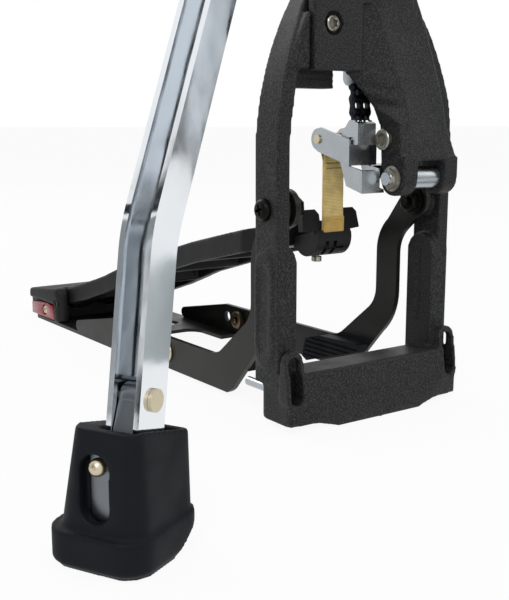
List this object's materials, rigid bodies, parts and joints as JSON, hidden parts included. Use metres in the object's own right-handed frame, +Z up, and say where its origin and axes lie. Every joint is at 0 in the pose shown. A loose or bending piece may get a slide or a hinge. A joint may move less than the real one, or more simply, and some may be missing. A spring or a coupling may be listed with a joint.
{
  "type": "hi-hat stand pedal base",
  "caption": "Die-cast frame with a lever linkage, golden pull strap and chain, a hinged footboard on a folding base, and a tube carried by two channel-steel legs with rubber feet.",
  "frame": {"origin": "on the floor, under the middle of the base bar, on the axis of the tube", "axes": "+Z up along the tube, +Y back towards the heel, +X to the right as seen from the front"},
  "size_m": [0.514, 0.5577, 0.6106],
  "materials": {
    "textured_black": "wrinkle powder coat over die-cast aluminium",
    "satin_black": "satin black paint on steel",
    "black_board": "satin black paint on cast aluminium",
    "chrome": "bright chrome plate",
    "zinc": "bright zinc plate",
    "nickel": "dull nickel plate",
    "bronze": "yellow chromate",
    "black_plastic": "moulded nylon",
    "red_plastic": "red moulded plastic",
    "rubber": "black rubber",
    "strap_gold": "golden woven aramid strap",
    "chain_black": "oil-blacked steel",
    "spring_steel": "spring steel"
  },
  "bodies": {
    "frame": {"lower_frame": "textured_black", "lever_casting": "textured_black", "casting_bolt": "nickel", "base_pads": "rubber", "pivot_shaft": "chrome", "shaft_nuts": "nickel", "ear_bolt": "nickel", "base_tube": "chrome", "tube_clamp": "chrome", "height_bush": "black_plastic", "bar_pivot_screws": "nickel", "bar_pivot_nuts": "nickel", "floor_spurs": "zinc", "return_spring": "spring_steel"},
    "clamp_wing": {"tube_clamp_wing_bolt": "chrome"},
    "pedal_base": {"side_bar_left": "satin_black", "side_bar_right": "satin_black", "floor_plate_steel": "satin_black", "bar_bolts": "bronze", "bar_pads": "rubber", "heel_block": "black_board", "heel_inserts": "red_plastic", "heel_screws": "zinc", "heel_hinge_pin": "zinc"},
    "footboard": {"footboard": "black_board", "toe_clamp": "black_plastic", "toe_clamp_bolt": "nickel"},
    "lever": {"lever_arm": "zinc", "lever_rocker": "zinc", "strap_pin": "bronze"},
    "strap": {"pull_strap": "strap_gold"},
    "rod": {"rod_clevis": "zinc", "pull_rod": "chrome", "spring_seat": "zinc"},
    "chain": {"chain": "chain_black"},
    "leg_carrier": {"lower_collar": "black_plastic", "lower_collar_screw": "zinc"},
    "upper_collar": {"upper_collar": "black_plastic"},
    "collar_wing": {"upper_collar_wing_bolt": "chrome"},
    "leg_left": {"leg_left": "chrome"},
    "leg_right": {"leg_right": "chrome"},
    "brace_left": {"brace_left": "chrome"},
    "brace_right": {"brace_right": "chrome"},
    "foot_left": {"foot_bracket_left": "chrome", "rubber_foot_left": "rubber", "foot_bolts_left": "nickel"},
    "foot_right": {"foot_bracket_right": "chrome", "rubber_foot_right": "rubber", "foot_bolts_right": "nickel"}
  },
  "joints": [
    {"name": "footboard_hinge", "type": "hinge", "parent": "pedal_base", "child": "footboard", "pos_m": [0, 0.352, 0.021], "axis": [1, 0, 0], "range_deg": [0, 4], "stiffness_Nm_per_rad": 25, "springref_deg": -5.73},
    {"name": "lever_pivot", "type": "hinge", "parent": "frame", "child": "lever", "pos_m": [0, -0.021, 0.151], "axis": [-1, 0, 0], "range_deg": [0, 27.76]},
    {"name": "strap_swing", "type": "hinge", "parent": "lever", "child": "strap", "pos_m": [0, 0.026, 0.175], "axis": [1, 0, 0], "range_deg": [-1, 37.76], "deforming": ["pull_strap"]},
    {"name": "rod_slide", "type": "slide", "parent": "frame", "child": "rod", "axis": [0, 0, -1], "range_m": [0, 0.0142], "deforming": ["return_spring"]},
    {"name": "chain_swing", "type": "hinge", "parent": "rod", "child": "chain", "pos_m": [0, 0, 0.216], "axis": [1, 0, 0], "range_deg": [-1, 23.5]},
    {"name": "pedal_fold", "type": "hinge", "parent": "frame", "child": "pedal_base", "pos_m": [0, 0.002, 0.134], "axis": [1, 0, 0], "range_deg": [0, 60]},
    {"name": "leg_swivel", "type": "hinge", "parent": "frame", "child": "leg_carrier", "pos_m": [0, 0, 0.4], "axis": [0, 0, 1], "range_deg": [-20, 20]},
    {"name": "leg_fold_left", "type": "hinge", "parent": "upper_collar", "child": "leg_left", "pos_m": [-0.03002, -0.01596, 0.5386], "axis": [0.4695, -0.8829, 0], "range_deg": [0, 13]},
    {"name": "leg_fold_right", "type": "hinge", "parent": "upper_collar", "child": "leg_right", "pos_m": [0.03002, -0.01596, 0.5386], "axis": [0.4695, 0.8829, 0], "range_deg": [0, 13.1]},
    {"name": "brace_fold_left", "type": "hinge", "parent": "leg_carrier", "child": "brace_left", "pos_m": [-0.03002, -0.01596, 0.4], "axis": [-0.4695, 0.8829, 0], "range_deg": [0, 13.1]},
    {"name": "brace_fold_right", "type": "hinge", "parent": "leg_carrier", "child": "brace_right", "pos_m": [0.03002, -0.01596, 0.4], "axis": [-0.4695, -0.8829, 0], "range_deg": [0, 13.1]},
    {"name": "collar_slide", "type": "slide", "parent": "leg_carrier", "child": "upper_collar", "axis": [0, 0, 1], "range_m": [0, 0.01288]},
    {"name": "foot_tilt_left", "type": "hinge", "parent": "leg_left", "child": "foot_left", "pos_m": [-0.22339, -0.11878, 0.072], "axis": [-0.4695, 0.8829, 0], "range_deg": [-3, 13]},
    {"name": "foot_tilt_right", "type": "hinge", "parent": "leg_right", "child": "foot_right", "pos_m": [0.22339, -0.11878, 0.072], "axis": [-0.4695, -0.8829, 0], "range_deg": [-3, 13]},
    {"name": "clamp_wing_turn", "type": "hinge", "parent": "frame", "child": "clamp_wing", "pos_m": [0, 0.0243, 0.592], "axis": [1, 0, 0], "continuous": true},
    {"name": "collar_wing_turn", "type": "hinge", "parent": "upper_collar", "child": "collar_wing", "pos_m": [0, 0.03, 0.5386], "axis": [0, 1, 0], "continuous": true}
  ],
  "couplings": [
    {"joint": "lever_pivot", "follows": "footboard_hinge", "ratio": 6.8655},
    {"joint": "strap_swing", "follows": "footboard_hinge", "ratio": 4.4361},
    {"joint": "rod_slide", "follows": "footboard_hinge", "m_per_rad": 0.1979},
    {"joint": "chain_swing", "follows": "footboard_hinge", "ratio": 5.709},
    {"joint": "leg_fold_right", "follows": "leg_fold_left", "ratio": 1},
    {"joint": "brace_fold_left", "follows": "leg_fold_left", "ratio": 1},
    {"joint": "brace_fold_right", "follows": "leg_fold_left", "ratio": 1},
    {"joint": "collar_slide", "follows": "leg_fold_left", "m_per_rad": 0.055878}
  ]
}
